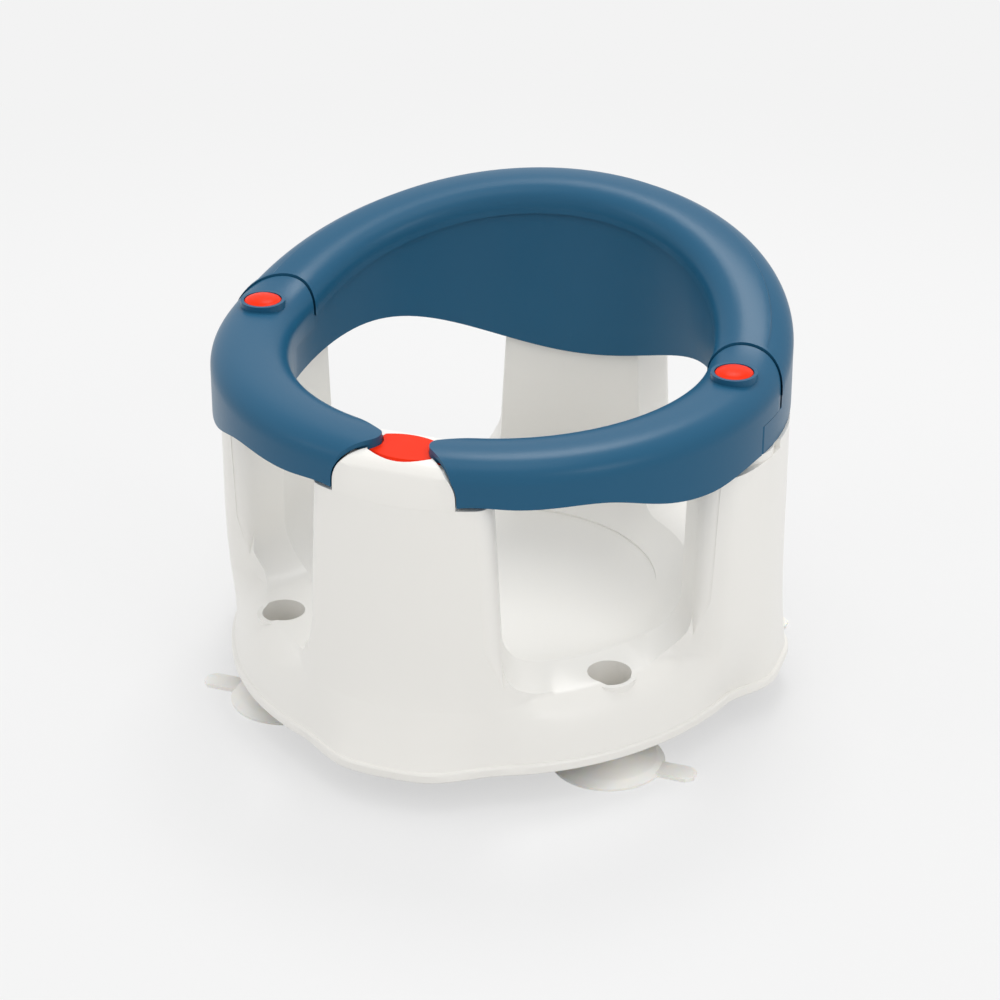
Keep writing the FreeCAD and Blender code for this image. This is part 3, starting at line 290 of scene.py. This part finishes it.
def pushPlate():
    low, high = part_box("latch_button")
    piece = surfaceCopy("latch_button", "pushPlate")
    for vertex in piece.data.vertices:
        place = vertex.co
        share = (high[1] - place.y) / (high[1] - low[1])  # 0 at the back, 1 at the front
        if place.z > plate["foot"]:
            place.z -= plate["sink"] + plate["drop"] * share
        if place.z > plate["foot"] - plate["flange"]:
            place.y += plate["pull"] * share * share
    standIn(piece, "latch_button", "latch_body", plate["smoothAngle"])


pushPlate()
print("push plate ready")


# Spring under the plate: stands on the retainer and stays with the frame.

spring = {"x": 0.0, "y": -0.147, "keep": 0.69, "smoothAngle": 40.0}


def latchSpring():
    piece = surfaceCopy("latch_spring", "latchSpringCoil")
    standIn(piece, "latch_spring", "frame", spring["smoothAngle"])
    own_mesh(piece)


latchSpring()
print("latch spring ready")


# Crowns: the shallow domes of the two red caps.

crown = {"radius": 0.0106, "height": 0.0034, "seat": 0.0020, "segments": 64, "rings": 40,
         "smoothAngle": 40.0}


def capCrown(node, name, body):
    low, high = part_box(node)
    middle = ((low[0] + high[0]) / 2.0, (low[1] + high[1]) / 2.0, high[2] - crown["seat"])
    deselectAll()
    bpy.ops.mesh.primitive_uv_sphere_add(segments=crown["segments"], ring_count=crown["rings"],
                                         radius=crown["radius"])
    piece = bpy.context.active_object
    piece.name = name
    bpy.ops.object.mode_set(mode="EDIT")
    bpy.ops.mesh.select_all(action="SELECT")
    bpy.ops.mesh.bisect(plane_co=(0, 0, 0), plane_no=(0, 0, 1), clear_inner=True, use_fill=True)
    bpy.ops.mesh.select_all(action="SELECT")
    bpy.ops.transform.resize(value=(1.0, 1.0, crown["height"] / crown["radius"]),
                             center_override=(0, 0, 0))
    bpy.ops.transform.translate(value=middle)
    bpy.ops.object.mode_set(mode="OBJECT")
    bpy.ops.object.shade_smooth_by_angle(angle=math.radians(crown["smoothAngle"]))
    piece.data.materials.append(finishes["redButton"])
    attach(piece, body)


capCrown("right_pivot_cap", "rightCapCrown", "right_arm_body")
capCrown("left_pivot_cap", "leftCapCrown", "left_arm_body")
deselectAll()
print("cap crowns ready")


# Floor and background: a pale floor that fades into the flat background colour, and keeps the
# object's shadow near it. shadowLift is the least share of the background colour.

backdrop = {"floorSize": 60.0, "floorColor": (0.80, 0.80, 0.80), "floorRough": 0.9,
            "floorGloss": 0.1, "fadeStart": 0.50, "fadeEnd": 1.1, "shadowLift": 0.64,
            "backColor": (0.896, 0.896, 0.896), "skyTop": (1.0, 1.0, 1.0),
            "skyLow": (0.60, 0.61, 0.62), "skyHeight": 0.75, "skyStrength": 0.89}


def seenDirectly(tree):  # 1 for rays of the camera, of reflections and through clear plastic
    path = tree.nodes.new("ShaderNodeLightPath")
    either = mathNode(tree, "MAXIMUM", path.outputs["Is Camera Ray"],
                      path.outputs["Is Glossy Ray"])
    return mathNode(tree, "MAXIMUM", either, path.outputs["Is Transmission Ray"])


def floorMaterial():
    material = bpy.data.materials.new("studioFloor")
    material.use_nodes = True
    tree = material.node_tree
    shader = tree.nodes["Principled BSDF"]
    shader.inputs["Base Color"].default_value = backdrop["floorColor"] + (1.0,)
    shader.inputs["Roughness"].default_value = backdrop["floorRough"]
    shader.inputs["Specular IOR Level"].default_value = backdrop["floorGloss"]
    coords = tree.nodes.new("ShaderNodeTexCoord")
    reach = tree.nodes.new("ShaderNodeVectorMath")
    reach.operation = "LENGTH"
    tree.links.new(coords.outputs["Object"], reach.inputs[0])
    fade = tree.nodes.new("ShaderNodeMapRange")
    fade.interpolation_type = "SMOOTHSTEP"
    fade.inputs["From Min"].default_value = backdrop["fadeStart"]
    fade.inputs["From Max"].default_value = backdrop["fadeEnd"]
    fade.inputs["To Min"].default_value = backdrop["shadowLift"]
    tree.links.new(reach.outputs["Value"], fade.inputs["Value"])
    back = tree.nodes.new("ShaderNodeEmission")
    back.inputs["Color"].default_value = backdrop["backColor"] + (1.0,)
    mix = tree.nodes.new("ShaderNodeMixShader")
    factor = mathNode(tree, "MULTIPLY", fade.outputs["Result"], seenDirectly(tree))
    tree.links.new(factor, mix.inputs["Fac"])
    tree.links.new(shader.outputs[0], mix.inputs[1])
    tree.links.new(back.outputs[0], mix.inputs[2])
    tree.links.new(mix.outputs[0], tree.nodes["Material Output"].inputs["Surface"])
    return material


def addFloor():
    bpy.ops.mesh.primitive_plane_add(size=backdrop["floorSize"], location=(0, 0, 0))
    floor = bpy.context.active_object
    floor.name = "studioFloor"
    floor.data.materials.append(floorMaterial())


def addSky():
    world = bpy.context.scene.world or bpy.data.worlds.new("studio")
    bpy.context.scene.world = world
    world.use_nodes = True
    sky = world.node_tree
    light = sky.nodes["Background"]
    light.inputs["Strength"].default_value = backdrop["skyStrength"]
    coords = sky.nodes.new("ShaderNodeTexCoord")
    split = sky.nodes.new("ShaderNodeSeparateXYZ")
    sky.links.new(coords.outputs["Generated"], split.inputs[0])
    rise = sky.nodes.new("ShaderNodeMapRange")
    rise.interpolation_type = "SMOOTHSTEP"
    rise.inputs["From Max"].default_value = backdrop["skyHeight"]
    sky.links.new(split.outputs["Z"], rise.inputs["Value"])
    blend = sky.nodes.new("ShaderNodeMix")
    blend.data_type = "RGBA"
    blend.inputs["A"].default_value = backdrop["skyLow"] + (1.0,)
    blend.inputs["B"].default_value = backdrop["skyTop"] + (1.0,)
    sky.links.new(rise.outputs["Result"], blend.inputs["Factor"])
    sky.links.new(blend.outputs["Result"], light.inputs["Color"])
    plain = sky.nodes.new("ShaderNodeBackground")
    plain.inputs["Color"].default_value = backdrop["backColor"] + (1.0,)
    choose = sky.nodes.new("ShaderNodeMixShader")
    sky.links.new(seenDirectly(sky), choose.inputs["Fac"])
    sky.links.new(light.outputs[0], choose.inputs[1])
    sky.links.new(plain.outputs[0], choose.inputs[2])
    sky.links.new(choose.outputs[0], sky.nodes["World Output"].inputs["Surface"])


addFloor()
addSky()
print("backdrop ready")


# Lamps: square soft boxes. The overhead one stands behind and lights the top of the rail.

lamps = {
    "overhead": {"place": (-0.3, 1.3, 2.4), "target": (0, 0, 0.15), "width": 0.9, "power": 20.0},
    "topSoft": {"place": (0.1, -0.3, 2.5), "target": (0, 0, 0.1), "width": 1.2, "power": 6.5},
    "leftSoft": {"place": (-2.2, -1.4, 1.8), "target": (0, 0, 0.12), "width": 0.8, "power": 3.0},
    "rightSoft": {"place": (2.1, -1.2, 1.7), "target": (0, 0, 0.15), "width": 0.9, "power": 8.0},
    "frontFill": {"place": (0.2, -2.8, 0.7), "target": (0, 0, 0.1), "width": 1.4, "power": 0.4}}


def aimAt(item, target):
    aim = Vector(target) - item.location
    item.rotation_euler = aim.to_track_quat("-Z", "Y").to_euler()


for name, values in lamps.items():
    bpy.ops.object.light_add(type="AREA", location=values["place"])
    lamp = bpy.context.active_object
    lamp.name = name
    lamp.data.shape = "SQUARE"
    lamp.data.size = values["width"]
    lamp.data.energy = values["power"]
    aimAt(lamp, values["target"])
print("lamps ready")


# Camera, as the photograph was taken; its focal length was measured in pixels of a 1000 pixel frame.

view = {"place": (0.57112, -1.50422, 0.92472), "target": (0.00382, -0.01251, 0.11245),
        "focalPixels": 3007.9, "framePixels": 1000.0, "sensor": 36.0, "reach": 100.0}

bpy.ops.object.camera_add(location=view["place"])
camera = bpy.context.active_object
camera.data.sensor_width = view["sensor"]
camera.data.lens = view["focalPixels"] * view["sensor"] / view["framePixels"]
camera.data.clip_end = view["reach"]
aimAt(camera, view["target"])
bpy.context.scene.camera = camera
bpy.context.scene.view_settings.view_transform = "Standard"
print("camera ready")
